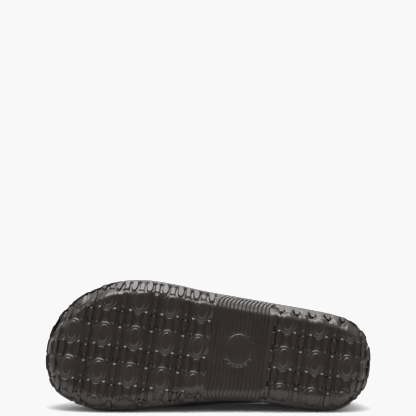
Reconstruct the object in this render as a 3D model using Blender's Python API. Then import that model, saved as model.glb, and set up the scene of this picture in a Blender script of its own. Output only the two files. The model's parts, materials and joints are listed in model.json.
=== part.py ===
"""Left-foot moulded clog with a lugged sole, lying on its medial side.

Shoe sizes are in millimetres along the shoe (toe to heel), across it (medial side positive) and up
from the tread plane. The finished pieces are turned on their side, set on the floor and built in metres.
"""
from collections import namedtuple
from itertools import product
from math import atan2, cos, pi, radians, sin

import bmesh
import bpy
import numpy as np
from mathutils import Matrix
from mathutils.geometry import delaunay_2d_cdt

MM = 0.001
GAP = 0.3

# Outline of the sole at its lip
Section = namedtuple("Section", "along lateral medial")
TOE_TIP = (-1.6, 20.5)
HEEL_TIP = (296.0, 0.0)
SOLE_SECTIONS = [
    Section(2.6, -3.6, 43.6),
    Section(11, -17.9, 56.6),
    Section(28, -34.4, 65.6),
    Section(49, -45.7, 70.2),
    Section(79, -52.8, 68.6),
    Section(107, -52.8, 61.2),
    Section(137, -50.3, 53.3),
    Section(170, -48.9, 46.6),
    Section(204, -47.6, 43.8),
    Section(235, -46.4, 44.4),
    Section(256, -44.9, 44.3),
    Section(273, -41.4, 39.5),
    Section(286, -32.8, 29.6),
    Section(293.8, -18.2, 16.6),
]

# Side of the sole
EDGE_BEND = 5.0
EDGE_TURN = radians(47)
EDGE_FLANK = 11.0
LIP_REACH = 1.0
LIP_BOTTOM = 11.2
LIP_TOP = 13.6
WALL_INSET = 1.5
WALL_TAPER = 0.16
DECK_FRONT = 17.0
DECK_HEEL = 27.0
DECK_RAMP = (90.0, 210.0)
TOE_SPRING = 14.0
SPRING_LENGTH = 70.0
HEEL_ROLL = 2.5
HEEL_ROLL_START = 268.0
ARCH_RISE = 2.0
ARCH_FRONT = (146.5, 149.5)
ARCH_BACK = (199.0, 202.5)

# Tread lattice: columns run along the shoe, rows across it
COLUMN_PITCH = 28.9
ROW_PITCH = 33.6
MIDDLE_ROW = 2.15
FIRST_COLUMN = 21.65
FOREFOOT_COLUMNS = range(-1, 5)
HEEL_FIRST_COLUMN = 215.9
HEEL_COLUMNS = range(-1, 4)
ROWS = range(-3, 4)
TREAD_END = 148.5
HEEL_BREAST = 203.0
LUG_DEPTH = 2.0
OVAL_HALF = (9.0, 11.0)
OVAL_STEP = 0.7
OVAL_CROWN_HALF = (4.5, 8.3)
OVAL_SIDES = 12
LENS_HALF = (2.5, 8.3)
LENS_OFFSET = 7.1
SPOOL_HALF = (3.7, 5.8)
SPOOL_STEP = 1.0
SMALL_SPOOL_HALF = (3.0, 7.4)
SMALL_SPOOL_STEP = 0.4
SPOOL_PINCH = 0.84
SPOOL_END_DIP = 2.0
LIP_MARGIN = 1.2
LEAST_LUG_AREA = 9.0
LEAST_LUG_SHARE = 0.25

# Waist: ribs across the sole around a plain oval boss, and the bar along the heel breast
RIB_COUNT = 14
RIB_FIRST = 149.8
RIB_PITCH = 3.63
RIB_WIDTH = 1.8
RIB_DEPTH = 1.1
RIB_STEPS = 10
RIB_SWEEP = 5.0
RIB_SWEEP_START = 43.0
RIB_SWEEP_LENGTH = 8.0
BOSS_CENTRE = (174.5, 0.0)
BOSS_HALF = (11.0, 14.0)
BOSS_MARGIN = 2.2
BAR_ROWS = range(-2, 3)
BAR_GAP = 6.0
BAR_WIDTH = 2.6

# Upper: one row for each station round the shoe, with its rise from the sole and its point of the collar
Station = namedtuple("Station", "along side rise bulge collar_along collar_across collar_up reach drop")
STATIONS = [
    Station(0, "toe", 24, 0, 114, 6, 96, 55, 14),
    Station(20, "lateral", 25, 0, 117, -2, 95, 46, 12),
    Station(62, "lateral", 26, 0, 126, -14, 90, 26, 9),
    Station(120, "lateral", 24, 1, 150, -31, 73, 12, 12),
    Station(170, "lateral", 14, 2, 188, -40, 59, 5, 12),
    Station(240, "lateral", 12, 0.5, 247, -36, 60, 4, 12),
    Station(296, "heel", 12, 2, 286, 0, 68, 3, 14),
    Station(240, "medial", 12, 0, 247, 34, 60, 4, 12),
    Station(175, "medial", 18, 9, 192, 41, 62, 9, 12),
    Station(140, "medial", 22, 11, 160, 41, 72, 14, 14),
    Station(70, "medial", 27, -1, 130, 27, 89, 28, 9),
    Station(16, "medial", 25, 0, 118, 14, 95, 46, 12),
]
UPPER_WALL = 4.0
UPPER_AROUND = 56
UPPER_UP = 9

# Footbed
INSOLE_CLEARANCE = 1.8
INSOLE_THICKNESS = 4.5
INSOLE_CROWN = 1.0

EDGE_STEPS = 96
FINE_STEPS = 960
FLOOR_POINT_ROOM = 3.0
CDT_MERGE = 1e-4
SETTLE_STEPS = 60

RUBBER = ("dark moulded rubber", (0.034, 0.030, 0.028, 1), 0.45)
FOAM = ("dark moulded foam", (0.030, 0.027, 0.026, 1), 0.35)
FOOTBED = ("dark footbed foam", (0.040, 0.036, 0.034, 1), 0.7)


def smooth_step(value, start, end):
    part = np.clip((np.asarray(value, float) - start) / (end - start), 0, 1)
    return part * part * (3 - 2 * part)


def loop_tangents(knots, values, period):
    """Slopes of a smooth closed curve through values at their knots."""
    before = np.roll(values, 1, axis=0)
    after = np.roll(values, -1, axis=0)
    step_in = (knots - np.roll(knots, 1)) % period
    step_out = (np.roll(knots, -1) - knots) % period
    step_in = step_in[:, None]
    step_out = step_out[:, None]
    slope_in = (values - before) / step_in
    slope_out = (after - values) / step_out
    return (slope_in * step_out + slope_out * step_in) / (step_in + step_out)


def loop_curve(knots, values, period, at):
    """Closed cubic through values at their knots, read at the places in at."""
    slopes = loop_tangents(knots, values, period)
    at = np.asarray(at) % period
    left = np.searchsorted(knots, at, side="right") - 1
    right = (left + 1) % len(knots)
    step = ((knots[right] - knots[left]) % period)[:, None]
    t = (at - knots[left])[:, None] / step
    a = 2 * t ** 3 - 3 * t ** 2 + 1
    b = t ** 3 - 2 * t ** 2 + t
    c = -2 * t ** 3 + 3 * t ** 2
    d = t ** 3 - t ** 2
    return a * values[left] + b * step * slopes[left] + c * values[right] + d * step * slopes[right]


def chord_knots(points):
    chords = np.linalg.norm(np.roll(points, -1, axis=0) - points, axis=1)
    return np.concatenate([[0], np.cumsum(chords)[:-1]]), chords.sum()


def even_loop(points, count):
    """Points at even steps along a closed polygon, from its first point."""
    knots, length = chord_knots(points)
    at = np.arange(count) * length / count
    closed = np.vstack([points, points[:1]])
    knots = np.append(knots, length)
    return np.column_stack([np.interp(at, knots, closed[:, 0]), np.interp(at, knots, closed[:, 1])])


def outward(loop):
    """Unit normals of a counter-clockwise closed polygon."""
    along = np.roll(loop, -1, axis=0) - np.roll(loop, 1, axis=0)
    normals = np.column_stack([along[:, 1], -along[:, 0]])
    return normals / np.linalg.norm(normals, axis=1)[:, None]


def sole_outline():
    """Lip line from the toe tip down the lateral side, round the heel and back up the medial side."""
    lateral = [(row.along, row.lateral) for row in SOLE_SECTIONS]
    medial = [(row.along, row.medial) for row in reversed(SOLE_SECTIONS)]
    points = np.array([TOE_TIP] + lateral + [HEEL_TIP] + medial, float)
    knots, length = chord_knots(points)
    dense = loop_curve(knots, points, length, np.linspace(0, length, FINE_STEPS * 2, endpoint=False))
    return even_loop(dense, FINE_STEPS)


LIP_LINE = sole_outline()
LIP_NORMALS = outward(LIP_LINE)
EDGE_REACH = EDGE_BEND * sin(EDGE_TURN) + EDGE_FLANK * cos(EDGE_TURN)
EDGE_ARC = EDGE_BEND * EDGE_TURN + EDGE_FLANK
FLAT_LINE = LIP_LINE - LIP_NORMALS * (EDGE_REACH + LIP_REACH)
FLAT_NORMALS = outward(FLAT_LINE)


def inset_line(inset, count):
    """The lip line moved inwards, at even places round the shoe."""
    pick = np.arange(count) * FINE_STEPS // count
    return LIP_LINE[pick] - LIP_NORMALS[pick] * np.broadcast_to(inset, FINE_STEPS)[pick, None]


def toe_spring(along):
    return TOE_SPRING * np.clip((SPRING_LENGTH - along) / SPRING_LENGTH, 0, None) ** 2


def base_rise(along):
    """Height of the lip and the tread over the tread plane: toe spring and the roll at the heel."""
    heel = np.clip((along - HEEL_ROLL_START) / (HEEL_TIP[0] - HEEL_ROLL_START), 0, 1) ** 2
    return toe_spring(along) + HEEL_ROLL * heel


def arch_rise(along, distance):
    """Lift of the waist, which runs out over the rounded edge."""
    arch = smooth_step(along, *ARCH_FRONT) * (1 - smooth_step(along, *ARCH_BACK))
    return ARCH_RISE * arch * (1 - smooth_step(distance, 0, EDGE_ARC))


def wall_height(along):
    return DECK_FRONT + (DECK_HEEL - DECK_FRONT) * smooth_step(along, *DECK_RAMP)


def deck_height(along):
    return wall_height(along) + toe_spring(along)


def deck_inset():
    """How far the side wall has drawn in from the lip where it reaches the deck."""
    return WALL_INSET + WALL_TAPER * (wall_height(LIP_LINE[:, 0]) - LIP_TOP)


def edge_distance(points):
    """Signed distance from the flat of the tread, with its border's normal at the nearest place."""
    gaps = points[:, None, :] - FLAT_LINE[None, :, :]
    nearest = np.argmin((gaps ** 2).sum(axis=2), axis=1)
    normal = FLAT_NORMALS[nearest]
    return ((points - FLAT_LINE[nearest]) * normal).sum(axis=1), normal


def rolled(points, depth):
    """Tread points, laid out flat, bent over the edge onto its sloping flank and sunk by depth."""
    distance, normal = edge_distance(points)
    angle = np.clip(distance / EDGE_BEND, 0, EDGE_TURN)
    flank = np.clip(distance - EDGE_BEND * EDGE_TURN, 0, None)
    reach = (EDGE_BEND - depth) * np.sin(angle) + flank * cos(EDGE_TURN)
    height = EDGE_BEND - (EDGE_BEND - depth) * np.cos(angle) + flank * sin(EDGE_TURN)
    slide = points - normal * distance[:, None]
    place = np.where(distance[:, None] > 0, slide + normal * reach[:, None], points)
    rise = base_rise(points[:, 0]) + arch_rise(points[:, 0], distance)
    return np.column_stack([place, height + rise])


def oval(centre, half, sides=OVAL_SIDES):
    turn = np.arange(sides) * 2 * pi / sides
    return np.column_stack([centre[0] + half[0] * np.cos(turn), centre[1] + half[1] * np.sin(turn)])


def lens(centre):
    """Lug with pointed ends across the shoe."""
    wide, tall = LENS_HALF
    shape = [(0, -1), (0.8, -0.45), (0.8, 0.45), (0, 1), (-0.8, 0.45), (-0.8, -0.45)]
    return np.array([(centre[0] + wide * x, centre[1] + tall * y) for x, y in shape])


def spool(centre, half):
    """Lug with pinched sides and dished ends that follow the lugs above and below it."""
    wide, tall = half
    dip = 1 - SPOOL_END_DIP / tall
    shape = [(-1, -1), (0, -dip), (1, -1), (SPOOL_PINCH, 0), (1, 1), (0, dip), (-1, 1), (-SPOOL_PINCH, 0)]
    return np.array([(centre[0] + wide * x, centre[1] + tall * y) for x, y in shape])


def cell_lugs(column, row):
    """Lugs of one cell of the lattice, each with the depth of its face; an oval carries a raised crown."""
    half_row = row + ROW_PITCH / 2
    middle = column + COLUMN_PITCH / 2
    yield [(oval((column, row), OVAL_HALF), OVAL_STEP), (oval((column, row), OVAL_CROWN_HALF), 0.0)]
    yield [(lens((middle, row)), 0.0)]
    yield [(spool((column, half_row), SPOOL_HALF), SPOOL_STEP)]
    yield [(lens((column - LENS_OFFSET, half_row)), 0.0)]
    yield [(lens((column + LENS_OFFSET, half_row)), 0.0)]
    yield [(spool((middle, half_row), SMALL_SPOOL_HALF), SMALL_SPOOL_STEP)]


def area(polygon):
    nxt = np.roll(polygon, -1, axis=0)
    return 0.5 * np.sum(polygon[:, 0] * nxt[:, 1] - polygon[:, 1] * nxt[:, 0])


def held_inside(polygon):
    """The polygon pulled back to the lip where it would run past it."""
    distance, normal = edge_distance(polygon)
    past = np.clip(distance - (EDGE_ARC - LIP_MARGIN), 0, None)
    between = (past > 0) & (np.roll(past, 1) > 0) & (np.roll(past, -1) > 0)
    return (polygon - normal * past[:, None])[~between]


def tread_lugs():
    """Outlines and face depths of all lugs that fit on the forefoot and the heel."""
    blocks = [(FIRST_COLUMN, FOREFOOT_COLUMNS, TOE_TIP[0] - COLUMN_PITCH, TREAD_END),
              (HEEL_FIRST_COLUMN, HEEL_COLUMNS, HEEL_BREAST + BAR_WIDTH, HEEL_TIP[0] + COLUMN_PITCH)]
    for first, columns, start, end in blocks:
        for column, row in product(columns, ROWS):
            place = (first + column * COLUMN_PITCH, MIDDLE_ROW + row * ROW_PITCH)
            for (outline, depth), *crown in cell_lugs(*place):
                held = held_inside(outline)
                fits = outline[:, 0].min() >= start and outline[:, 0].max() <= end
                if not fits or area(held) < max(LEAST_LUG_AREA, LEAST_LUG_SHARE * area(outline)):
                    continue
                yield held, depth
                if area(held) == area(outline):
                    yield from crown


def rib_strip(middle, start, end):
    """One rib from start to end across the waist, swept to the heel where it climbs the side walls."""
    across = np.linspace(start, end, RIB_STEPS + 1)
    sweep = RIB_SWEEP * np.clip((np.abs(across) - RIB_SWEEP_START) / RIB_SWEEP_LENGTH, 0, None) ** 2
    left = np.column_stack([middle + sweep - RIB_WIDTH / 2, across])
    right = np.column_stack([middle + sweep + RIB_WIDTH / 2, across])
    return held_inside(np.vstack([left[::-1], right]))


def rib_outlines():
    """Ribs across the waist; those that meet the boss stop short of it on both sides."""
    half = FINE_STEPS // 2
    ends = FLAT_LINE + FLAT_NORMALS * (EDGE_ARC - LIP_MARGIN)
    for index in range(RIB_COUNT):
        middle = RIB_FIRST + index * RIB_PITCH
        lateral = np.interp(middle + RIB_SWEEP, ends[:half, 0], ends[:half, 1])
        medial = np.interp(middle + RIB_SWEEP, ends[:half:-1, 0], ends[:half:-1, 1])
        offset = (middle - BOSS_CENTRE[0]) / (BOSS_HALF[0] + BOSS_MARGIN)
        clear = (BOSS_HALF[1] + BOSS_MARGIN) * max(1 - offset ** 2, 0) ** 0.5
        if clear < RIB_WIDTH:
            yield rib_strip(middle, lateral, medial)
        else:
            yield rib_strip(middle, lateral, BOSS_CENTRE[1] - clear)
            yield rib_strip(middle, BOSS_CENTRE[1] + clear, medial)


def breast_bars():
    """Straight bar along the front of the heel, cut by a gap beside each lug of the first column."""
    half_bar = (ROW_PITCH / 2 - BAR_GAP) / 2
    for index in BAR_ROWS:
        row = MIDDLE_ROW + index * ROW_PITCH / 2
        yield np.array([(HEEL_BREAST, row - half_bar), (HEEL_BREAST + BAR_WIDTH, row - half_bar),
                        (HEEL_BREAST + BAR_WIDTH, row + half_bar), (HEEL_BREAST, row + half_bar)])


def object_from(name, vertices, faces, finish):
    """A closed mesh object in shoe millimetres, with its faces turned out."""
    mesh = bpy.data.meshes.new(name)
    body = bmesh.new()
    corners = [body.verts.new(tuple(point)) for point in vertices]
    for face in faces:
        body.faces.new([corners[index] for index in face])
    bmesh.ops.triangulate(body, faces=[face for face in body.faces if len(face.verts) > 3])
    bmesh.ops.recalc_face_normals(body, faces=body.faces)
    body.to_mesh(mesh)
    body.free()
    mesh.materials.append(material(*finish))
    shape = bpy.data.objects.new(name, mesh)
    bpy.context.scene.collection.objects.link(shape)
    return shape


def material(name, colour, roughness):
    finish = bpy.data.materials.new(name)
    finish.use_nodes = True
    shader = finish.node_tree.nodes["Principled BSDF"]
    shader.inputs["Base Color"].default_value = colour
    shader.inputs["Roughness"].default_value = roughness
    shader.inputs["Metallic"].default_value = 0.0
    return finish


def tread_levels():
    """Every raised outline of the tread with the depth of its face, a lug before its crown."""
    yield from tread_lugs()
    for bar in breast_bars():
        if area(held_inside(bar)) > area(bar) / 2:
            yield held_inside(bar), 0.0
    for rib in rib_outlines():
        yield rib, RIB_DEPTH
    yield oval(BOSS_CENTRE, BOSS_HALF, OVAL_SIDES * 2), RIB_DEPTH


def tread_mesh():
    """Faces of the tread over its laid-out outline: lug faces, groove floor and the walls between."""
    pick = np.arange(EDGE_STEPS) * FINE_STEPS // EDGE_STEPS
    border = FLAT_LINE[pick] + FLAT_NORMALS[pick] * EDGE_ARC
    flat_border = FLAT_LINE[pick]
    levels = list(tread_levels())
    points = [tuple(point) for point in border]
    outlines = [list(range(EDGE_STEPS))]
    depths = [LUG_DEPTH]
    for outline, depth in levels:
        outlines.append(list(range(len(points), len(points) + len(outline))))
        points.extend(tuple(point) for point in outline)
        depths.append(depth)
    places = np.array(points)
    for point in flat_border:
        if np.min(np.linalg.norm(places - point, axis=1)) > FLOOR_POINT_ROOM:
            points.append(tuple(point))
    flat = delaunay_2d_cdt(points, [], outlines, 1, CDT_MERGE, True)
    laid = np.array([tuple(point) for point in flat[0]])
    corners = {}
    vertices = []
    surface = {depth: rolled(laid, depth) for depth in set(depths)}

    def corner(index, depth):
        if (index, depth) not in corners:
            corners[index, depth] = len(vertices)
            vertices.append(surface[depth][index])
        return corners[index, depth]

    faces = []
    edge_depths = {}
    for triangle, inside in zip(flat[2], flat[5]):
        if not inside:
            continue
        depth = depths[max(inside)]
        faces.append([corner(index, depth) for index in triangle])
        for start, end in zip(triangle, triangle[1:] + triangle[:1]):
            edge_depths[start, end] = depth
    for (start, end), depth in edge_depths.items():
        across = edge_depths.get((end, start), depth)
        if depth < across:
            faces.append([corner(start, depth), corner(start, across), corner(end, across), corner(end, depth)])
    rim = [corner(flat[3].index([index]), LUG_DEPTH) for index in range(EDGE_STEPS)]
    return vertices, faces, rim


def add_ring(vertices, plan, heights):
    first = len(vertices)
    vertices.extend(np.column_stack([plan, heights]))
    return list(range(first, first + len(plan)))


def bridge(ring_a, ring_b):
    """Quads between two rings of the same count."""
    count = len(ring_a)
    return [[ring_a[i], ring_a[(i + 1) % count], ring_b[(i + 1) % count], ring_b[i]] for i in range(count)]


def capped(ring):
    """Strips across a ring, from its lateral half to its medial half."""
    half = len(ring) // 2
    lateral = ring[:half + 1]
    medial = [ring[0]] + ring[:half - 1:-1]
    strips = [[lateral[0], lateral[1], medial[1]]]
    for i in range(1, half - 1):
        strips.append([lateral[i], lateral[i + 1], medial[i + 1], medial[i]])
    strips.append([lateral[half - 1], lateral[half], medial[half - 1]])
    return strips


def make_outsole():
    vertices, faces, rim = tread_mesh()
    lip = inset_line(0, EDGE_STEPS)
    wall = inset_line(WALL_INSET, EDGE_STEPS)
    edge = inset_line(deck_inset(), EDGE_STEPS)
    rise = base_rise(lip[:, 0])
    rings = [rim,
             add_ring(vertices, lip, LIP_BOTTOM + rise),
             add_ring(vertices, lip, LIP_TOP + rise),
             add_ring(vertices, wall, LIP_TOP + rise),
             add_ring(vertices, edge, deck_height(edge[:, 0]))]
    for lower, higher in zip(rings, rings[1:]):
        faces.extend(bridge(lower, higher))
    faces.extend(capped(rings[-1]))
    return object_from("outsole", vertices, faces, RUBBER)


def station_place(row, foot_line):
    """Step of the foot line nearest to a station, on the station's own side."""
    half = len(foot_line) // 2
    if row.side == "toe":
        return 0
    if row.side == "heel":
        return half
    side = foot_line[:half] if row.side == "lateral" else foot_line[half:]
    step = int(np.argmin(np.abs(side[:, 0] - row.along)))
    return step if row.side == "lateral" else half + step


def upper_outside():
    """Outer face of the upper: a smooth column from the sole to the collar at each step round the shoe."""
    foot = inset_line(deck_inset() + GAP, FINE_STEPS)
    knots = np.array([station_place(row, foot) for row in STATIONS], float)
    values = np.array([row[2:] for row in STATIONS], float)
    pick = np.arange(UPPER_AROUND) * FINE_STEPS // UPPER_AROUND
    rise, bulge, c_along, c_across, c_up, reach, drop = loop_curve(knots, values, FINE_STEPS, pick).T
    base = np.column_stack([foot[pick], deck_height(foot[pick, 0]) + GAP])
    collar = np.column_stack([c_along, c_across, c_up])
    spread = base[:, :2] - collar[:, :2]
    spread /= np.linalg.norm(spread, axis=1)[:, None]
    out = LIP_NORMALS[pick] * bulge[:, None]
    low = base + np.column_stack([out, rise])
    high = collar + np.column_stack([spread * reach[:, None], -drop])
    columns = []
    for t in np.linspace(0, 1, UPPER_UP + 1):
        columns.append((1 - t) ** 3 * base + 3 * t * (1 - t) ** 2 * low
                       + 3 * t * t * (1 - t) * high + t ** 3 * collar)
    return np.array(columns)


def grid_normals(grid):
    """Outward normals of rings that climb from the sole to the collar."""
    around = np.roll(grid, -1, axis=1) - np.roll(grid, 1, axis=1)
    climb = np.gradient(grid, axis=0)
    normals = np.cross(around, climb)
    return normals / np.linalg.norm(normals, axis=2)[:, :, None]


def make_upper():
    outside = upper_outside()
    normals = grid_normals(outside)
    normals[0, :, 2] = 0
    normals[0] /= np.linalg.norm(normals[0], axis=1)[:, None]
    inside = outside - normals * UPPER_WALL
    vertices = []
    outer = [add_ring(vertices, ring[:, :2], ring[:, 2]) for ring in outside]
    inner = [add_ring(vertices, ring[:, :2], ring[:, 2]) for ring in inside]
    path = outer + inner[::-1]
    faces = []
    for lower, higher in zip(path, path[1:] + path[:1]):
        faces.extend(bridge(lower, higher))
    return object_from("upper", vertices, faces, FOAM)


def make_insole():
    vertices = []
    inset = deck_inset() + UPPER_WALL + INSOLE_CLEARANCE
    plan = inset_line(inset, EDGE_STEPS // 2)
    crest = inset_line(inset + INSOLE_THICKNESS, EDGE_STEPS // 2)
    deck = deck_height(plan[:, 0]) + GAP
    rings = [add_ring(vertices, plan, deck),
             add_ring(vertices, plan, deck + INSOLE_THICKNESS - INSOLE_CROWN),
             add_ring(vertices, crest, deck_height(crest[:, 0]) + GAP + INSOLE_THICKNESS)]
    faces = capped(rings[0]) + capped(rings[-1])
    for lower, higher in zip(rings, rings[1:]):
        faces.extend(bridge(lower, higher))
    return object_from("insole", vertices, faces, FOOTBED)


def coordinates(shape):
    return np.array([tuple(vertex.co) for vertex in shape.data.vertices])


def resting_turn(sole, upper):
    """Turn that lays the shoe on its side, with ball edge, heel edge and upper all on the floor."""
    tilt = 0.0
    lean = 0.0
    on_side = np.array([(1, 0, 0), (0, 0, 1), (0, -1, 0)], float)
    front = sole[sole[:, 0] < ARCH_FRONT[0]]
    back = sole[sole[:, 0] > ARCH_BACK[1]]
    for _ in range(SETTLE_STEPS):
        turn = np.array(Matrix.Rotation(lean, 3, "X") @ Matrix.Rotation(tilt, 3, "Y")) @ on_side
        ball, heel, side = [min(group @ turn.T, key=lambda point: point[2]) for group in (front, back, upper)]
        tilt += atan2(heel[2] - ball[2], heel[0] - ball[0])
        share = (side[0] - ball[0]) / (heel[0] - ball[0])
        edge = ball + (heel - ball) * share
        lean -= 0.5 * atan2(side[2] - edge[2], side[1] - edge[1])
    return turn


def set_on_floor(shapes):
    """Turn the shoe on its side, then put the middle of its footprint over the origin."""
    points = [coordinates(shape) for shape in shapes]
    turn = resting_turn(points[0], points[1])
    turned = np.vstack(points) @ turn.T
    low = turned.min(axis=0)
    high = turned.max(axis=0)
    shift = np.array([(low[0] + high[0]) / 2, (low[1] + high[1]) / 2, low[2]])
    placing = Matrix.Translation(-shift * MM) @ (Matrix(turn.tolist()) * MM).to_4x4()
    for shape in shapes:
        shape.data.transform(placing)


for old in list(bpy.data.objects):
    bpy.data.objects.remove(old, do_unlink=True)
outsole = make_outsole()
upper = make_upper()
insole = make_insole()
set_on_floor([outsole, upper, insole])
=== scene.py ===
"""Looks of a left-foot moulded clog that lies on its medial side with its sole to the camera."""
import json
from itertools import chain, product
from math import cos, pi, radians, sin

import bmesh
import bpy
import numpy as np
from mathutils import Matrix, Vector
from mathutils.geometry import delaunay_2d_cdt


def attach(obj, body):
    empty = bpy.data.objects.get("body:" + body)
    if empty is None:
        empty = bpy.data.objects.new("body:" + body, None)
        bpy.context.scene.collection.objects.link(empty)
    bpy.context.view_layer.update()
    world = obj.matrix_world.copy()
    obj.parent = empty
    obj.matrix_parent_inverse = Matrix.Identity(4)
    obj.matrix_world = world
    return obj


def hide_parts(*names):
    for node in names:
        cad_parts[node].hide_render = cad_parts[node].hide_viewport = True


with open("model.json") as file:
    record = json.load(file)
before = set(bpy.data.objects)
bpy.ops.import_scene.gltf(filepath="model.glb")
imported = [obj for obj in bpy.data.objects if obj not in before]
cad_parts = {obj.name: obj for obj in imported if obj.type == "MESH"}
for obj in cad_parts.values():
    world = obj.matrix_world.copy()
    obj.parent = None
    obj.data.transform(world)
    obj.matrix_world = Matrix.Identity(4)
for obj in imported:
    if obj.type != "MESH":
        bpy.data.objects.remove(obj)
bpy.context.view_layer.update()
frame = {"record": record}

# Outline of the outsole
# The outsole is one moulding of dark satin rubber. Its sizes are millimetres in the shoe: along from toe to
# heel, across to the medial side and up from the tread. The lip gives its outline, and the flat of the tread
# ends at one distance inside it. The tread is drawn as a flat sheet and rolled over the edge further on.
TOE_TIP = (-1.6, 20.5)
HEEL_TIP = (296.0, 0.0)
SOLE_SECTIONS = [  # along, lateral edge, medial edge
    (2.6, -3.6, 43.6),
    (11, -17.9, 56.6),
    (28, -34.4, 65.6),
    (49, -45.7, 70.2),
    (79, -52.8, 68.6),
    (107, -52.8, 61.2),
    (137, -50.3, 53.3),
    (170, -48.9, 46.6),
    (204, -47.6, 43.8),
    (235, -46.4, 44.4),
    (256, -44.9, 44.3),
    (273, -41.4, 39.5),
    (286, -32.8, 29.6),
    (293.8, -18.2, 16.6),
]
FINE_STEPS = 1920
EDGE_BEND = 6.0
EDGE_TURN = radians(40)
EDGE_FLANK = 12.9
LIP_REACH = 1.0
POINTS_AT_ONCE = 2000


def loop_curve(knots, values, period, at):
    """Closed cubic through values at their knots, read at the places in at."""
    step_in = ((knots - np.roll(knots, 1)) % period)[:, None]
    step_out = ((np.roll(knots, -1) - knots) % period)[:, None]
    slope_in = (values - np.roll(values, 1, axis=0)) / step_in
    slope_out = (np.roll(values, -1, axis=0) - values) / step_out
    slopes = (slope_in * step_out + slope_out * step_in) / (step_in + step_out)
    at = np.asarray(at) % period
    left = np.searchsorted(knots, at, side="right") - 1
    right = (left + 1) % len(knots)
    step = ((knots[right] - knots[left]) % period)[:, None]
    t = (at - knots[left])[:, None] / step
    held = (2 * t ** 3 - 3 * t ** 2 + 1) * values[left] + (3 * t ** 2 - 2 * t ** 3) * values[right]
    return held + step * ((t ** 3 - 2 * t ** 2 + t) * slopes[left] + (t ** 3 - t ** 2) * slopes[right])


def even_loop(points, count):
    """Points at even steps along a closed polygon, from its first point."""
    closed = np.vstack([points, points[:1]])
    run = np.concatenate([[0], np.cumsum(np.linalg.norm(np.diff(closed, axis=0), axis=1))])
    at = np.arange(count) * run[-1] / count
    return np.column_stack([np.interp(at, run, closed[:, axis]) for axis in range(2)])


def outward(loop):
    """Unit normals of a counter-clockwise closed polygon."""
    along = np.roll(loop, -1, axis=0) - np.roll(loop, 1, axis=0)
    normals = np.column_stack([along[:, 1], -along[:, 0]])
    return normals / np.linalg.norm(normals, axis=1)[:, None]


def sole_outline():
    """Lip line from the toe tip down the lateral side, round the heel and back up the medial side."""
    lateral = [(along, outer) for along, outer, _ in SOLE_SECTIONS]
    medial = [(along, inner) for along, _, inner in reversed(SOLE_SECTIONS)]
    points = np.array([TOE_TIP] + lateral + [HEEL_TIP] + medial, float)
    chords = np.linalg.norm(np.roll(points, -1, axis=0) - points, axis=1)
    knots = np.concatenate([[0], np.cumsum(chords)[:-1]])
    at = np.linspace(0, chords.sum(), FINE_STEPS * 2, endpoint=False)
    return even_loop(loop_curve(knots, points, chords.sum(), at), FINE_STEPS)


lip_line = sole_outline()
lip_normals = outward(lip_line)
edge_arc = EDGE_BEND * EDGE_TURN + EDGE_FLANK
edge_reach = EDGE_BEND * sin(EDGE_TURN) + EDGE_FLANK * cos(EDGE_TURN)
flat_line = lip_line - lip_normals * (edge_reach + LIP_REACH)
flat_normals = outward(flat_line)


def edge_distance(points):
    """Signed distance from the flat of the tread, with the border's normal at the nearest place."""
    nearest = np.empty(len(points), int)
    for start in range(0, len(points), POINTS_AT_ONCE):
        some = slice(start, start + POINTS_AT_ONCE)
        gaps = points[some, None, :] - flat_line[None, :, :]
        nearest[some] = np.argmin((gaps ** 2).sum(axis=2), axis=1)
    normal = flat_normals[nearest]
    return ((points - flat_line[nearest]) * normal).sum(axis=1), normal


# Lugs of the outsole
# Rubber lugs stand in a lattice on the forefoot and the heel. Each has drafted walls and a rounded shoulder,
# as a mould leaves it. A contour is a lug's outline at one depth, and a lug is a short stack of contours.
COLUMN_PITCH = 28.9
ROW_PITCH = 33.6
MIDDLE_ROW = 2.15
ROWS = range(-3, 4)
FIRST_COLUMN = 21.65
FOREFOOT_COLUMNS = range(-1, 5)
TREAD_END = 148.5
HEEL_FIRST_COLUMN = 215.9
HEEL_COLUMNS = range(-1, 4)
HEEL_BREAST = 203.0
BAR_WIDTH = 2.6
LUG_DEPTH = 2.0
LUG_WALL = [(-0.3, 2.0), (0.0, 0.75), (0.12, 0.48), (0.75, 0.06), (1.2, 0.0)]  # inset, depth below the face
OUTLINE_CONTOUR = 1
OVAL_HALF = np.array([8.8, 10.7])
OVAL_ROUND = 2.1
OVAL_SIDES = 40
OVAL_WALL = [(-0.1, 1.8), (0.0, 1.65), (0.75, 1.15), (1.2, 1.1)]  # inset, depth
CROWN_HALF = np.array([4.5, 8.3])
CROWN_WALL = [(-0.1, 1.1), (0.0, 1.02), (0.7, 0.52), (1.3, 0.45)]  # inset, depth
LENS_HALF = np.array([3.0, 8.2])
LENS_OFFSET = 7.15
LENS_TIP = 0.4
LENS_STEPS = 12
LENS_WALL = [  # added half width, added half length, depth
    (0.2, 0.2, 1.8),
    (0.0, 0.0, 1.4),
    (-0.3, -0.95, 0.7),
    (-0.6, -1.9, 0.0),
    (-1.1, -2.5, -0.3),
    (-1.7, -3.1, -0.4),
]
SPOOL_HALF = np.array([3.2, 5.7])
SPOOL_STEP = 1.35
SPOOL_DISH = 0.7
SMALL_SPOOL_HALF = np.array([3.0, 7.4])
SMALL_SPOOL_STEP = 0.8
SMALL_SPOOL_DISH = 2.0
SPOOL_PINCH = 0.6
SPOOL_STEPS = 8
SHARPEST_FOLD = 0.2
SHARPEST_LEAN = 0.45
LIP_MARGIN = 0.3
LUG_END_STEP = 0.15
LEAST_LUG_SHARE = 0.12


def oval(half, sides):
    """Oval with slightly flattened ends and sides."""
    turn = np.arange(sides) * 2 * pi / sides
    ray = np.column_stack([np.cos(turn), np.sin(turn)])
    return ray / (np.abs(ray / half) ** OVAL_ROUND).sum(axis=1)[:, None] ** (1 / OVAL_ROUND)


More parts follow.
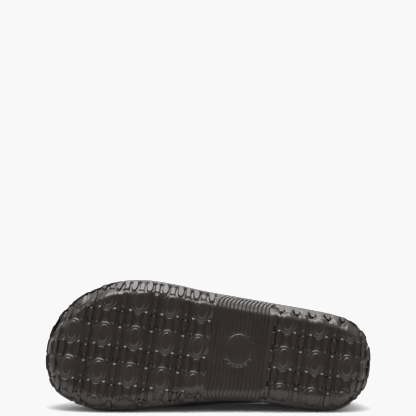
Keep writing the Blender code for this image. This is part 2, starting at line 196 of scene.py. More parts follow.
def lens(half):
    """Outline that narrows to blunt tips across the shoe."""
    reach = np.linspace(-1, 1, LENS_STEPS)
    wide = half[0] * (1 - (1 - LENS_TIP) * reach ** 2)
    right = np.column_stack([wide, half[1] * reach])
    return np.vstack([right, -right])


def spool(half, dish):
    """Outline with pinched sides and dished ends."""
    reach = np.linspace(-1, 1, SPOOL_STEPS, endpoint=False)
    bend = 1 - reach ** 2
    right = np.column_stack([half[0] - SPOOL_PINCH * bend, half[1] * reach])
    top = np.column_stack([-half[0] * reach, half[1] - dish * bend])
    return np.vstack([right, top, -right, -top])


def drawn_in(outline, inset):
    """The outline moved inwards along its own normals, its sharp corners kept."""
    before = outline - np.roll(outline, 1, axis=0)
    after = np.roll(outline, -1, axis=0) - outline
    before /= np.linalg.norm(before, axis=1)[:, None]
    after /= np.linalg.norm(after, axis=1)[:, None]
    bisector = before + after
    bisector /= np.maximum(np.linalg.norm(bisector, axis=1), SHARPEST_FOLD)[:, None]
    normal = np.column_stack([bisector[:, 1], -bisector[:, 0]])
    lean = np.clip((before * bisector).sum(axis=1), SHARPEST_LEAN, 1)
    return outline - normal * (inset / lean)[:, None]


def area(polygon):
    following = np.roll(polygon, -1, axis=0)
    return 0.5 * np.sum(polygon[:, 0] * following[:, 1] - polygon[:, 1] * following[:, 0])


def held_inside(polygon, margin):
    """The polygon pulled back to the lip where it would run past it."""
    distance, normal = edge_distance(polygon)
    past = np.clip(distance - (edge_arc - margin), 0, None)
    return polygon - normal * past[:, None]


def lug_contours(outline, face):
    """Contours of one lug from the groove floor to its face."""
    return [(drawn_in(outline, inset), min(face + below, LUG_DEPTH)) for inset, below in LUG_WALL]


def lens_contours():
    """A lens lug has long bevels at its tips, which catch the light."""
    return [(lens(LENS_HALF + (wide, tall)), depth) for wide, tall, depth in LENS_WALL]


def oval_contours():
    """An oval lug swells out of the groove floor and carries a raised oval crown."""
    swell = [(drawn_in(oval(OVAL_HALF, OVAL_SIDES), inset), depth) for inset, depth in OVAL_WALL]
    crown = [(drawn_in(oval(CROWN_HALF, OVAL_SIDES), inset), depth) for inset, depth in CROWN_WALL]
    return swell + crown


def cell_lugs():
    """Lugs of one cell of the lattice: place in the cell and contours."""
    half_column = COLUMN_PITCH / 2
    half_row = ROW_PITCH / 2
    yield (0, 0), oval_contours()
    yield (half_column, 0), lens_contours()
    yield (0, half_row), lug_contours(spool(SPOOL_HALF, SPOOL_DISH), SPOOL_STEP)
    yield (-LENS_OFFSET, half_row), lens_contours()
    yield (LENS_OFFSET, half_row), lens_contours()
    yield (half_column, half_row), lug_contours(spool(SMALL_SPOOL_HALF, SMALL_SPOOL_DISH), SMALL_SPOOL_STEP)


def tread_lugs():
    """Contours of every lug that fits on the forefoot or the heel."""
    blocks = [(FIRST_COLUMN, FOREFOOT_COLUMNS, TOE_TIP[0] - COLUMN_PITCH, TREAD_END),
              (HEEL_FIRST_COLUMN, HEEL_COLUMNS, HEEL_BREAST + BAR_WIDTH, HEEL_TIP[0] + COLUMN_PITCH)]
    for first, columns, start, end in blocks:
        for column, row in product(columns, ROWS):
            cell = np.array([first + column * COLUMN_PITCH, MIDDLE_ROW + row * ROW_PITCH])
            for offset, contours in cell_lugs():
                placed = [(contour + cell + offset, depth) for contour, depth in contours]
                outline = placed[OUTLINE_CONTOUR][0]
                held = held_inside(outline, LIP_MARGIN)
                fits = outline[:, 0].min() >= start and outline[:, 0].max() <= end
                if fits and area(held) > LEAST_LUG_SHARE * area(outline):
                    yield [(held_inside(contour, LIP_MARGIN + LUG_END_STEP * step), depth)
                           for step, (contour, depth) in enumerate(placed)]


lugs = list(tread_lugs())

# Waist of the outsole
# Fine ribs, moulded with the rest, cross the waist and sweep to the heel where they climb the sides. A plain
# oval pad stands in the middle, and a straight bar with slots in it closes the waist at the heel breast.
RIB_COUNT = 14
RIB_FIRST = 149.8
RIB_PITCH = 3.63
RIB_WIDTH = 2.5
RIB_DEPTH = 1.1
RIB_SWEEP = 5.0
RIB_SWEEP_START = 43.0
RIB_SWEEP_LENGTH = 8.0
RIB_STEPS = 44
RIB_MARGIN = 0.6
RIB_WALL = [(-0.35, 1.8), (0.0, 1.4), (0.25, 1.17), (0.55, RIB_DEPTH)]  # inset, depth
PAD_CENTRE = np.array([174.5, 0.0])
PAD_HALF = np.array([11.0, 14.0])
PAD_SIDES = 64
PAD_MARGIN = 2.2
BAR_ROWS = range(-2, 3)
BAR_GAP = 6.0
BAR_STEPS = 28
BAR_WALL = LUG_WALL[:-1]
SLOT_SETBACK = 0.2
SLOT_MARGIN = 0.4
SLOT_STEPS = 20
SLOT_WALL = [(0.0, 2.0), (0.3, 3.2)]  # inset, depth


def rib_strip(middle, start, end, inset):
    """One rib from start to end across the waist, at one inset from its outline."""
    across = np.linspace(start + inset, end - inset, RIB_STEPS)
    sweep = RIB_SWEEP * np.clip((np.abs(across) - RIB_SWEEP_START) / RIB_SWEEP_LENGTH, 0, None) ** 2
    half = RIB_WIDTH / 2 - inset
    left = np.column_stack([middle + sweep - half, across])
    right = np.column_stack([middle + sweep + half, across])
    return np.vstack([left[::-1], right])


def rib_contours():
    """Contours of the ribs from side to side, in two runs where the pad is between them."""
    heel_step = FINE_STEPS // 2
    ends = flat_line + flat_normals * edge_arc
    for index in range(RIB_COUNT):
        middle = RIB_FIRST + index * RIB_PITCH
        lateral = np.interp(middle + RIB_SWEEP, ends[:heel_step, 0], ends[:heel_step, 1])
        medial = np.interp(middle + RIB_SWEEP, ends[:heel_step:-1, 0], ends[:heel_step:-1, 1])
        offset = (middle - PAD_CENTRE[0]) / (PAD_HALF[0] + PAD_MARGIN)
        clear = (PAD_HALF[1] + PAD_MARGIN) * max(1 - offset ** 2, 0) ** 0.5
        runs = [(lateral, medial)] if clear < RIB_WIDTH else [(lateral, -clear), (clear, medial)]
        for (start, end), (inset, depth) in product(runs, RIB_WALL):
            yield held_inside(rib_strip(middle, start, end, inset), RIB_MARGIN + inset), depth


def pad_contours():
    for inset, depth in RIB_WALL:
        yield drawn_in(oval(PAD_HALF, PAD_SIDES) + PAD_CENTRE, inset), depth


def breast_block(row, start, half_length, steps):
    """Outline of one block of the heel breast, from start to the back of the bar."""
    lateral = [(start, -half_length), (BAR_WIDTH, -half_length)]
    medial = [(BAR_WIDTH, half_length), (start, half_length)]
    return even_loop(np.array(lateral + medial) + (HEEL_BREAST, MIDDLE_ROW + row * ROW_PITCH / 2), steps)


def bar_contours():
    """Contours of the bar's lengths at the heel breast, then of the slots that are sunk between them."""
    half_bar = (ROW_PITCH / 2 - BAR_GAP) / 2
    half_slot = BAR_GAP / 2 - SLOT_MARGIN
    for row, (inset, depth) in product(BAR_ROWS, BAR_WALL):
        yield drawn_in(breast_block(row, 0, half_bar, BAR_STEPS), inset), depth
    for row, (inset, depth) in product(BAR_ROWS, SLOT_WALL):
        slot = breast_block(row + 0.5, SLOT_SETBACK, half_slot, SLOT_STEPS)
        yield held_inside(drawn_in(slot, inset), LIP_MARGIN + inset), depth


# Edge and side wall of the outsole
# The tread rolls over a soft edge, where its relief runs out, and ends below a thin smooth lip. A plain wall
# leans in from the lip to the deck that carries the upper. Tread, lip and wall come out of the same mould.
TOE_SPRING = 14.0
SPRING_LENGTH = 70.0
HEEL_ROLL = 2.5
HEEL_ROLL_START = 268.0
ARCH_RISE = 2.0
ARCH_FRONT = (146.5, 149.5)
ARCH_BACK = (199.0, 202.5)
SIDE_START = (40.0, 62.0)
SIDE_END = (262.0, 278.0)
LATERAL_START = (-10.0, 10.0)
HEEL_BEND = 10.0
MEDIAL_BEND = 14.0
MEDIAL_TURN = radians(69)
FOREFOOT_RUN_OUT = (12.6, 17.2)
HEEL_RUN_OUT = (5.5, 9.0)
PLAIN_RUN_OUT = (15.4, 17.0)
WAIST_RUN_OUT = (2.0, 12.0)
TIP_MARK_ROW = 1.5
TIP_MARK_HALF = 3.4
TIP_MARK_RISE = 1.0
TIP_MARK_DEPTH = 2.6
TIP_MARK_FLOOR = (1.45, 1.9)
GROOVE_LOOK = 1.8
GROOVE_BLUR = 5
EDGE_STEPS = 960
LEAST_GAP = 0.0001
LIP_BOTTOM = 11.2
LIP_TOP = 13.6
LIP_NOTCH = 0.8
LIP_PROFILE = [  # inset, height
    (0.55, -0.7),
    (0.25, 0.0),
    (0.05, 0.6),
    (0.0, 1.1),
    (0.0, 1.9),
    (0.2, 2.25),
    (0.7, 2.4),
]
WALL_INSET = 1.5
WALL_TAPER = 0.16
DECK_FRONT = 17.0
DECK_HEEL = 27.0
DECK_RAMP = (90.0, 210.0)


def smooth_step(value, start, end):
    part = np.clip((np.asarray(value, float) - start) / (end - start), 0, 1)
    return part * part * (3 - 2 * part)


def toe_spring(along):
    return TOE_SPRING * np.clip((SPRING_LENGTH - along) / SPRING_LENGTH, 0, None) ** 2


def base_rise(along):
    """Height of the lip and the tread over the tread plane: toe spring and the roll at the heel."""
    heel = np.clip((along - HEEL_ROLL_START) / (HEEL_TIP[0] - HEEL_ROLL_START), 0, 1) ** 2
    return toe_spring(along) + HEEL_ROLL * heel


def waist_share(along):
    return smooth_step(along, *ARCH_FRONT) * (1 - smooth_step(along, *ARCH_BACK))


def arch_rise(along, distance):
    """Lift of the waist, which runs out over the rounded edge."""
    return ARCH_RISE * waist_share(along) * (1 - smooth_step(distance, 0, edge_arc))


def beside(along):
    """One along the sides of the shoe, nothing round the toe and the heel end."""
    return smooth_step(along, *SIDE_START) * (1 - smooth_step(along, *SIDE_END))


def relief_left(points, distance):
    """Share of the relief that is left on the flank, where it runs out below the lip."""
    along, across = points.T
    lateral = smooth_step(-across, *LATERAL_START)
    heel = lateral * smooth_step(along, *ARCH_BACK)
    forefoot = lateral * (1 - smooth_step(along, *ARCH_FRONT))
    forefoot_out = forefoot * smooth_step(distance, *FOREFOOT_RUN_OUT)
    heel_out = heel * smooth_step(distance, *HEEL_RUN_OUT)
    plain_out = (1 - forefoot - heel) * smooth_step(distance, *PLAIN_RUN_OUT)
    return 1 - beside(along) * (forefoot_out + heel_out + plain_out)


def tip_marks(points, depth):
    """Groove round the lens tips on the heel's lateral flank, where the rest of the relief has run out."""
    along, across = points.T
    column_gap = np.abs((along - HEEL_FIRST_COLUMN + COLUMN_PITCH / 2) % COLUMN_PITCH - COLUMN_PITCH / 2)
    mark_across = MIDDLE_ROW - TIP_MARK_ROW * ROW_PITCH + LENS_HALF[1] - TIP_MARK_RISE
    tip_along = (column_gap - LENS_OFFSET) / TIP_MARK_HALF
    tip_across = (mark_across - across) / TIP_MARK_HALF
    near_tip = np.exp(-tip_along ** 4 - tip_across ** 4) * smooth_step(along, *ARCH_BACK)
    return TIP_MARK_DEPTH * near_tip * beside(along) * smooth_step(depth, *TIP_MARK_FLOOR)


def rib_lift(along, distance):
    """How far the ribs come up to the level of the flank as they climb it."""
    return RIB_DEPTH * waist_share(along) * smooth_step(distance, *WAIST_RUN_OUT)


def rolled(points, depth):
    """Tread points, laid out flat, bent over the edge onto its sloping flank and sunk by depth."""
    distance, normal = edge_distance(points)
    relief = depth * relief_left(points, distance) - rib_lift(points[:, 0], distance)
    depth = np.maximum(np.maximum(relief, np.minimum(depth, 0)), tip_marks(points, depth))
    medial = smooth_step(points[:, 1], *LATERAL_START)
    lateral_bend = EDGE_BEND + (HEEL_BEND - EDGE_BEND) * smooth_step(points[:, 0], *ARCH_BACK)
    bend = lateral_bend + (MEDIAL_BEND - lateral_bend) * medial
    turn = EDGE_TURN + (MEDIAL_TURN - EDGE_TURN) * medial
    angle = np.clip(distance / bend, 0, turn)
    flank = np.clip(distance - bend * turn, 0, None)
    reach = (bend - depth) * np.sin(angle) + flank * np.cos(turn)
    height = bend - (bend - depth) * np.cos(angle) + flank * np.sin(turn)
    slide = points - normal * distance[:, None]
    place = np.where(distance[:, None] > 0, slide + normal * reach[:, None], points)
    rise = base_rise(points[:, 0]) + arch_rise(points[:, 0], distance)
    return np.column_stack([place, height + rise])


def groove_ends():
    """One where a groove runs into the lip at the toe and the heel end, nothing above a lug."""
    below_lip = flat_line + flat_normals * (edge_arc - GROOVE_LOOK)
    along, across = below_lip.T
    open_groove = np.ones(FINE_STEPS, bool)
    for contours in lugs:
        outline = contours[OUTLINE_CONTOUR][0]
        crossings = np.zeros(FINE_STEPS, int)
        for (x0, y0), (x1, y1) in zip(outline, np.roll(outline, -1, axis=0)):
            if y0 != y1:
                between = (across > min(y0, y1)) & (across <= max(y0, y1))
                crossings += between & (along < x0 + (across - y0) * (x1 - x0) / (y1 - y0))
        open_groove &= crossings % 2 == 0
    spread = np.ones(GROOVE_BLUR) / GROOVE_BLUR
    around = np.concatenate([open_groove[-GROOVE_BLUR:], open_groove, open_groove[:GROOVE_BLUR]])
    return np.convolve(around, spread, "same")[GROOVE_BLUR:-GROOVE_BLUR] * (1 - beside(lip_line[:, 0]))


groove_end = groove_ends()


def tread_surface():
    """Triangles of the tread between its contours, and its border ring."""
    pick = np.arange(EDGE_STEPS) * FINE_STEPS // EDGE_STEPS
    border = flat_line[pick] + flat_normals[pick] * edge_arc
    points = [border]
    depths = [LUG_DEPTH * groove_end[pick]]
    edges = [(i, (i + 1) % EDGE_STEPS) for i in range(EDGE_STEPS)]
    count = EDGE_STEPS
    for contour, depth in chain(chain.from_iterable(lugs), rib_contours(), pad_contours(), bar_contours()):
        size = len(contour)
        points.append(contour)
        depths.append(np.full(size, depth))
        edges.extend((count + i, count + (i + 1) % size) for i in range(size))
        count += size
    points = np.vstack(points)
    depths = np.concatenate(depths)
    flat = delaunay_2d_cdt(points.tolist(), edges, [], 0, LEAST_GAP, True)
    laid = np.array([tuple(point) for point in flat[0]])
    depth = np.array([depths[sources].max() if sources else LUG_DEPTH for sources in flat[3]])
    triangles = np.array(flat[2])
    middle, _ = edge_distance(laid[triangles].mean(axis=1))
    kept = triangles[middle < edge_arc]
    place = {source: index for index, sources in enumerate(flat[3]) for source in sources}
    return rolled(laid, depth), kept.tolist(), [place[i] for i in range(EDGE_STEPS)]


def wall_height(along):
    return DECK_FRONT + (DECK_HEEL - DECK_FRONT) * smooth_step(along, *DECK_RAMP)


def deck_height(along):
    return wall_height(along) + toe_spring(along)


deck_inset = WALL_INSET + WALL_TAPER * (wall_height(lip_line[:, 0]) - LIP_TOP)


def inset_line(inset, count):
    """The lip line moved inwards, at even places round the shoe."""
    pick = np.arange(count) * FINE_STEPS // count
    return lip_line[pick] - lip_normals[pick] * np.broadcast_to(inset, FINE_STEPS)[pick, None]


def add_ring(vertices, plan, heights):
    first = len(vertices)
    vertices.extend(np.column_stack([plan, heights]))
    return list(range(first, first + len(plan)))


def bridge(ring_a, ring_b):
    """Quads between two rings of the same count."""
    count = len(ring_a)
    return [[ring_a[i], ring_a[(i + 1) % count], ring_b[(i + 1) % count], ring_b[i]] for i in range(count)]


def capped(ring):
    """Strips across a ring, from its lateral half to its medial half."""
    half = len(ring) // 2
    lateral = ring[:half + 1]
    medial = [ring[0]] + ring[:half - 1:-1]
    strips = [[lateral[0], lateral[1], medial[1]]]
    for i in range(1, half - 1):
        strips.append([lateral[i], lateral[i + 1], medial[i + 1], medial[i]])
    strips.append([lateral[half - 1], lateral[half], medial[half - 1]])
    return strips


def outsole_mesh():
    """Tread, lip, side wall and deck as rings of points and the faces between them."""
    tread, faces, rim = tread_surface()
    vertices = list(tread)
    rise = base_rise(inset_line(0, EDGE_STEPS)[:, 0])
    rings = [rim]
    for inset, height in LIP_PROFILE:
        plan = inset_line(inset + LIP_NOTCH * groove_end, EDGE_STEPS)
        rings.append(add_ring(vertices, plan, LIP_BOTTOM + height + rise))
    rings.append(add_ring(vertices, inset_line(WALL_INSET, EDGE_STEPS), LIP_TOP + rise))
    edge = inset_line(deck_inset, EDGE_STEPS)
    rings.append(add_ring(vertices, edge, deck_height(edge[:, 0])))
    for lower, higher in zip(rings, rings[1:]):
        faces.extend(bridge(lower, higher))
    faces.extend(capped(rings[-1]))
    return vertices, faces


# The two tread mounts sit on crowns of known place in the shoe, so they say how it lies on the floor.
MM = 0.001
FOREFOOT_CROWN = (108.35, 2.15, 0.0)
LEAST_EDGE = 0.01
tread_mounts = {mount["name"]: mount for mount in frame["record"]["mounts"]}
crown_place = Vector(tread_mounts["forefoot_tread"]["pos_m"])
toward_heel = (Vector(tread_mounts["heel_tread"]["pos_m"]) - crown_place).normalized()
into_shoe = -Vector(tread_mounts["forefoot_tread"]["axis"]).normalized()
toward_arch = into_shoe.cross(toward_heel).normalized()
shoe_axes = np.array([toward_heel, toward_arch, into_shoe])


def on_floor(points):
    """Shoe millimetres to metres on the floor."""
    from_crown = np.asarray(points, float) - FOREFOOT_CROWN
    return from_crown @ shoe_axes * MM + np.array(crown_place)


def piece_from(name, vertices, faces, finish, crease):
    """A closed piece on the floor from shoe millimetres, smooth up to the crease angle."""
    body = bmesh.new()
    corners = [body.verts.new(point) for point in on_floor(vertices)]
    for face in faces:
        body.faces.new([corners[index] for index in face])
    bmesh.ops.dissolve_degenerate(body, dist=LEAST_EDGE * MM, edges=body.edges)
    loose = [corner for corner in body.verts if not corner.link_faces]
    bmesh.ops.delete(body, geom=loose, context="VERTS")
    bmesh.ops.recalc_face_normals(body, faces=body.faces)
    mesh = bpy.data.meshes.new(name)
    body.to_mesh(mesh)
    body.free()
    mesh.shade_smooth()
    mesh.set_sharp_from_angle(angle=crease)
    mesh.materials.append(finish)
    piece = bpy.data.objects.new(name, mesh)
    bpy.context.scene.collection.objects.link(piece)
    return piece


MOTTLE_SCALE = 60.0
MOTTLE_DETAIL = 5.0
GRAIN_DETAIL = 3.0
GRAIN_STRENGTH = 0.5


def moulded_finish(name, dark, light, roughness, grain_scale, grain_height):
    """Moulded foam or rubber: mottled dark colour, uneven gloss and a fine skin grain."""
    finish = bpy.data.materials.new(name)
    finish.use_nodes = True
    nodes = finish.node_tree.nodes
    links = finish.node_tree.links
    shader = nodes["Principled BSDF"]
    place = nodes.new("ShaderNodeTexCoord")
    mottle = nodes.new("ShaderNodeTexNoise")
    mottle.inputs["Scale"].default_value = MOTTLE_SCALE
    mottle.inputs["Detail"].default_value = MOTTLE_DETAIL
    links.new(place.outputs["Object"], mottle.inputs["Vector"])
    tint = nodes.new("ShaderNodeMix")
    tint.data_type = "RGBA"
    tint.inputs["A"].default_value = (*dark, 1)
    tint.inputs["B"].default_value = (*light, 1)
    links.new(mottle.outputs["Fac"], tint.inputs["Factor"])
    links.new(tint.outputs["Result"], shader.inputs["Base Color"])
    gloss = nodes.new("ShaderNodeMapRange")
    gloss.inputs["To Min"].default_value = roughness[0]
    gloss.inputs["To Max"].default_value = roughness[1]
    links.new(mottle.outputs["Fac"], gloss.inputs["Value"])
    links.new(gloss.outputs["Result"], shader.inputs["Roughness"])
    skin = nodes.new("ShaderNodeTexNoise")
    skin.inputs["Scale"].default_value = grain_scale
    skin.inputs["Detail"].default_value = GRAIN_DETAIL
    links.new(place.outputs["Object"], skin.inputs["Vector"])
    bump = nodes.new("ShaderNodeBump")
    bump.inputs["Distance"].default_value = grain_height
    bump.inputs["Strength"].default_value = GRAIN_STRENGTH
    links.new(skin.outputs["Fac"], bump.inputs["Height"])
    links.new(bump.outputs["Normal"], shader.inputs["Normal"])
    return finish


RUBBER_DARK = (0.0140, 0.0106, 0.0090)
RUBBER_LIGHT = (0.0198, 0.0150, 0.0130)
RUBBER_ROUGHNESS = (0.27, 0.38)
RUBBER_GRAIN = (900.0, 0.00012)  # scale, height in metres
RUBBER_CREASE = radians(50)
sole_rubber = moulded_finish("sole rubber", RUBBER_DARK, RUBBER_LIGHT, RUBBER_ROUGHNESS, *RUBBER_GRAIN)
outsole_piece = piece_from("lug_outsole", *outsole_mesh(), sole_rubber, RUBBER_CREASE)
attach(outsole_piece, "root")
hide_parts("outsole")

# Insole
# Footbed of soft dark foam with a dull skin and a rounded top edge.
# It is laid loose on the deck, inside the upper.
INSOLE_CLEARANCE = 1.8
INSOLE_RISE = 0.3
INSOLE_EDGE = [(0.0, 0.0), (0.0, 3.0), (0.25, 3.7), (0.9, 4.25), (2.0, 4.5)]  # inset, height
INSOLE_STEPS = 240
UPPER_WALL = 4.0
FOOTBED_DARK = (0.026, 0.023, 0.022)
FOOTBED_LIGHT = (0.040, 0.036, 0.034)
FOOTBED_ROUGHNESS = (0.65, 0.8)
FOOTBED_GRAIN = (500.0, 0.0003)  # scale, height in metres
FOAM_CREASE = radians(60)


def insole_mesh():
    vertices = []
    inset = deck_inset + UPPER_WALL + INSOLE_CLEARANCE
    rings = []
    for draw, height in INSOLE_EDGE:
        plan = inset_line(inset + draw, INSOLE_STEPS)
        rings.append(add_ring(vertices, plan, deck_height(plan[:, 0]) + INSOLE_RISE + height))
    faces = capped(rings[0]) + capped(rings[-1])
    for lower, higher in zip(rings, rings[1:]):
        faces.extend(bridge(lower, higher))
    return vertices, faces


footbed_foam = moulded_finish("footbed foam", FOOTBED_DARK, FOOTBED_LIGHT, FOOTBED_ROUGHNESS, *FOOTBED_GRAIN)
insole_piece = piece_from("footbed", *insole_mesh(), footbed_foam, FOAM_CREASE)
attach(insole_piece, "root")
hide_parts("insole")

# Upper
# One shell of dark moulded foam with a smooth satin skin, closed over the toes, low at the heel and open
# at the collar. Its lower edge is bonded to the deck of the outsole. The collar has a rounded edge.
UPPER_STATIONS = [  # along, side, rise, bulge, collar along, collar across, collar up, reach, drop
    (0, "toe", 24, 0, 114, 6, 96, 55, 14),
    (20, "lateral", 25, 0, 117, -2, 95, 46, 12),
    (62, "lateral", 26, 0, 126, -14, 90, 26, 9),
    (120, "lateral", 24, 1, 150, -31, 73, 12, 12),
    (170, "lateral", 14, 2, 188, -40, 59, 5, 12),
    (240, "lateral", 12, 0.5, 247, -36, 60, 4, 12),
    (296, "heel", 12, 2, 286, 0, 68, 3, 14),
    (240, "medial", 12, 0, 247, 34, 60, 4, 12),
    (175, "medial", 18, 9, 192, 41, 62, 9, 12),
    (140, "medial", 22, 11, 160, 41, 72, 14, 14),
    (70, "medial", 27, -1, 130, 27, 89, 28, 9),
    (16, "medial", 25, 0, 118, 14, 95, 46, 12),
]
UPPER_AROUND = 288
UPPER_UP = 48
UPPER_GAP = 0.3
COLLAR_STEPS = 9
UPPER_DARK = (0.016, 0.014, 0.0135)
UPPER_LIGHT = (0.024, 0.021, 0.020)
UPPER_ROUGHNESS = (0.26, 0.36)
UPPER_GRAIN = (700.0, 0.00008)  # scale, height in metres


def station_place(along, side, foot_line):
    """Step of the foot line nearest to a station, on the station's own side."""
    half = len(foot_line) // 2
    if side in ("toe", "heel"):
        return 0 if side == "toe" else half
    run = foot_line[:half] if side == "lateral" else foot_line[half:]
    step = int(np.argmin(np.abs(run[:, 0] - along)))
    return step if side == "lateral" else half + step


def upper_outside():
    """Outer face of the upper: a smooth column from the sole to the collar at each step round the shoe."""
    foot = inset_line(deck_inset + UPPER_GAP, FINE_STEPS)
    knots = np.array([station_place(row[0], row[1], foot) for row in UPPER_STATIONS], float)
    values = np.array([row[2:] for row in UPPER_STATIONS], float)
    pick = np.arange(UPPER_AROUND) * FINE_STEPS // UPPER_AROUND
    rise, bulge, c_along, c_across, c_up, reach, drop = loop_curve(knots, values, FINE_STEPS, pick).T
    base = np.column_stack([foot[pick], deck_height(foot[pick, 0]) + UPPER_GAP])
    collar = np.column_stack([c_along, c_across, c_up])
    spread = base[:, :2] - collar[:, :2]
    spread /= np.linalg.norm(spread, axis=1)[:, None]
    low = base + np.column_stack([lip_normals[pick] * bulge[:, None], rise])
    high = collar + np.column_stack([spread * reach[:, None], -drop])
    t = np.linspace(0, 1, UPPER_UP + 1)[:, None, None]
    return (1 - t) ** 3 * base + 3 * t * (1 - t) ** 2 * low + 3 * t * t * (1 - t) * high + t ** 3 * collar


def upper_mesh():
    """Outer face, rounded collar edge and inner face as one closed path of rings."""
    outside = upper_outside()
    around = np.roll(outside, -1, axis=1) - np.roll(outside, 1, axis=1)
    climb = np.gradient(outside, axis=0)
    normals = np.cross(around, climb)
    normals[0, :, 2] = 0
    normals /= np.linalg.norm(normals, axis=2)[:, :, None]
    tangent = climb[-1] / np.linalg.norm(climb[-1], axis=1)[:, None]
    inside = outside - normals * UPPER_WALL
    middle = outside[-1] - normals[-1] * UPPER_WALL / 2
    collar_edge = []
    for turn in np.linspace(0, pi, COLLAR_STEPS)[1:-1]:
        swing = normals[-1] * np.cos(turn) + tangent * np.sin(turn)
        collar_edge.append(middle + swing * UPPER_WALL / 2)
    vertices = []
    path = [add_ring(vertices, ring[:, :2], ring[:, 2]) for ring in [*outside, *collar_edge, *inside[::-1]]]
    faces = []
    for lower, higher in zip(path, path[1:] + path[:1]):
        faces.extend(bridge(lower, higher))
    return vertices, faces


upper_foam = moulded_finish("upper foam", UPPER_DARK, UPPER_LIGHT, UPPER_ROUGHNESS, *UPPER_GRAIN)
upper_piece = piece_from("clog_upper", *upper_mesh(), upper_foam, FOAM_CREASE)
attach(upper_piece, "root")
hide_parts("upper")

# Floor and studio
# White paper sweep in a room that is bright above and dim in front. A softbox hangs right overhead and a
# weaker one behind, and one toward the toe shows in gloss alone. Fills at both ends and a low card in front
# lift the shade.
FLOOR_SIZE = 40.0
FLOOR_WHITE = 0.58
FLOOR_ROUGHNESS = 0.9
half_floor = FLOOR_SIZE / 2
floor_mesh = bpy.data.meshes.new("floor")
floor_mesh.from_pydata([(-half_floor, -half_floor, 0), (half_floor, -half_floor, 0),
                        (half_floor, half_floor, 0), (-half_floor, half_floor, 0)], [], [(0, 1, 2, 3)])
floor = bpy.data.objects.new("floor", floor_mesh)
bpy.context.scene.collection.objects.link(floor)
floor_paper = bpy.data.materials.new("white sweep")
floor_paper.use_nodes = True
floor_shader = floor_paper.node_tree.nodes["Principled BSDF"]
floor_shader.inputs["Base Color"].default_value = (FLOOR_WHITE, FLOOR_WHITE, FLOOR_WHITE, 1)
floor_shader.inputs["Roughness"].default_value = FLOOR_ROUGHNESS
floor_shader.inputs["Specular IOR Level"].default_value = 0.0
floor_mesh.materials.append(floor_paper)

PAPER_WHITE = 0.94
COMBINED_CURVE = 3
grading = bpy.context.scene.view_settings
grading.view_transform = "Standard"
grading.use_curve_mapping = True
grading.curve_mapping.extend = "HORIZONTAL"
grading.curve_mapping.curves[COMBINED_CURVE].points[1].location = (1.0, PAPER_WHITE)
grading.curve_mapping.update()

BACKDROP = 1.2
ROOM_DARK = 0.05
ROOM_BRIGHT = 0.95
ROOM_BRIGHT_SIDE = (0.0, 0.5, 0.866)
ROOM_FALL = (-0.35, 0.95)
world = bpy.data.worlds.new("studio")
bpy.context.scene.world = world
world.use_nodes = True
studio_nodes = world.node_tree.nodes
studio_links = world.node_tree.links
backdrop = studio_nodes["Background"]
backdrop.inputs["Color"].default_value = (BACKDROP, BACKDROP, BACKDROP, 1)
facing = studio_nodes.new("ShaderNodeTexCoord")
toward_light = studio_nodes.new("ShaderNodeVectorMath")
toward_light.operation = "DOT_PRODUCT"
toward_light.inputs[1].default_value = ROOM_BRIGHT_SIDE
studio_links.new(facing.outputs["Generated"], toward_light.inputs[0])
fall = studio_nodes.new("ShaderNodeMapRange")
fall.interpolation_type = "SMOOTHSTEP"
fall.inputs["From Min"].default_value = ROOM_FALL[0]
fall.inputs["From Max"].default_value = ROOM_FALL[1]
fall.inputs["To Min"].default_value = ROOM_DARK
fall.inputs["To Max"].default_value = ROOM_BRIGHT
studio_links.new(toward_light.outputs["Value"], fall.inputs["Value"])
room = studio_nodes.new("ShaderNodeBackground")
room.inputs["Color"].default_value = (1, 1, 1, 1)
studio_links.new(fall.outputs["Result"], room.inputs["Strength"])
seen = studio_nodes.new("ShaderNodeLightPath")
choose = studio_nodes.new("ShaderNodeMixShader")
studio_links.new(seen.outputs["Is Camera Ray"], choose.inputs["Fac"])
studio_links.new(room.outputs["Background"], choose.inputs[1])
studio_links.new(backdrop.outputs["Background"], choose.inputs[2])
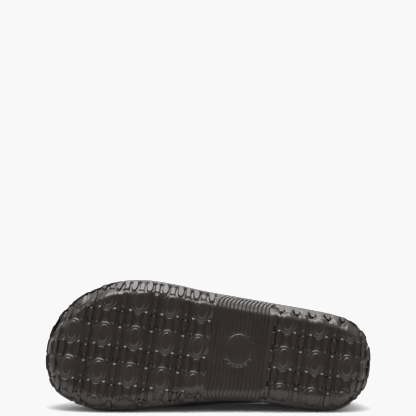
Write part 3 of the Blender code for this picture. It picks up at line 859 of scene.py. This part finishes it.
studio_links.new(choose.outputs["Shader"], studio_nodes["World Output"].inputs["Surface"])

STUDIO_LIGHTS = [  # name, strength, width, tilts to the front and the heel, seen in gloss, lights dull parts
    ("overhead softbox", 3.05, 36, 4, 0, True, True),
    ("toe softbox", 1.6, 26, 4, -27, True, False),
    ("back softbox", 0.9, 50, -30, 0, True, True),
    ("toe fill", 1.4, 60, 0, -50, False, True),
    ("heel fill", 1.7, 60, 0, 50, False, True),
]
for light_name, strength, width, front, heel, in_gloss, in_dull in STUDIO_LIGHTS:
    light = bpy.data.lights.new(light_name, "SUN")
    light.energy = strength
    light.angle = radians(width)
    softbox = bpy.data.objects.new(light_name, light)
    softbox.rotation_euler = (radians(front), radians(heel), 0)
    softbox.visible_glossy = in_gloss
    softbox.visible_diffuse = in_dull
    bpy.context.scene.collection.objects.link(softbox)

CARD_WIDTH = 0.45
CARD_HEIGHT = 0.012
CARD_POWER = 0.13
CARD_PLACE = (0.0, -0.17, 0.02)
CARD_TILT = radians(95)
card_light = bpy.data.lights.new("low bounce card", "AREA")
card_light.shape = "RECTANGLE"
card_light.size = CARD_WIDTH
card_light.size_y = CARD_HEIGHT
card_light.energy = CARD_POWER
card = bpy.data.objects.new("low bounce card", card_light)
card.location = CARD_PLACE
card.rotation_euler = (CARD_TILT, 0, 0)
card.visible_camera = False
card.visible_glossy = False
bpy.context.scene.collection.objects.link(card)

# Camera
# Level, square to the shoe and well back with a long lens.
# It stands higher than the shoe, so the shoe sits low in the picture.
CAMERA_PLACE = (0.0006, -1.215, 0.1844)
CAMERA_LEVEL = radians(90)
SENSOR_WIDTH = 36.0
FOCAL_LENGTH = 112.0
camera_data = bpy.data.cameras.new("camera")
camera_data.sensor_width = SENSOR_WIDTH
camera_data.lens = FOCAL_LENGTH
camera = bpy.data.objects.new("camera", camera_data)
camera.location = CAMERA_PLACE
camera.rotation_euler = (CAMERA_LEVEL, 0, 0)
bpy.context.scene.collection.objects.link(camera)
bpy.context.scene.camera = camera
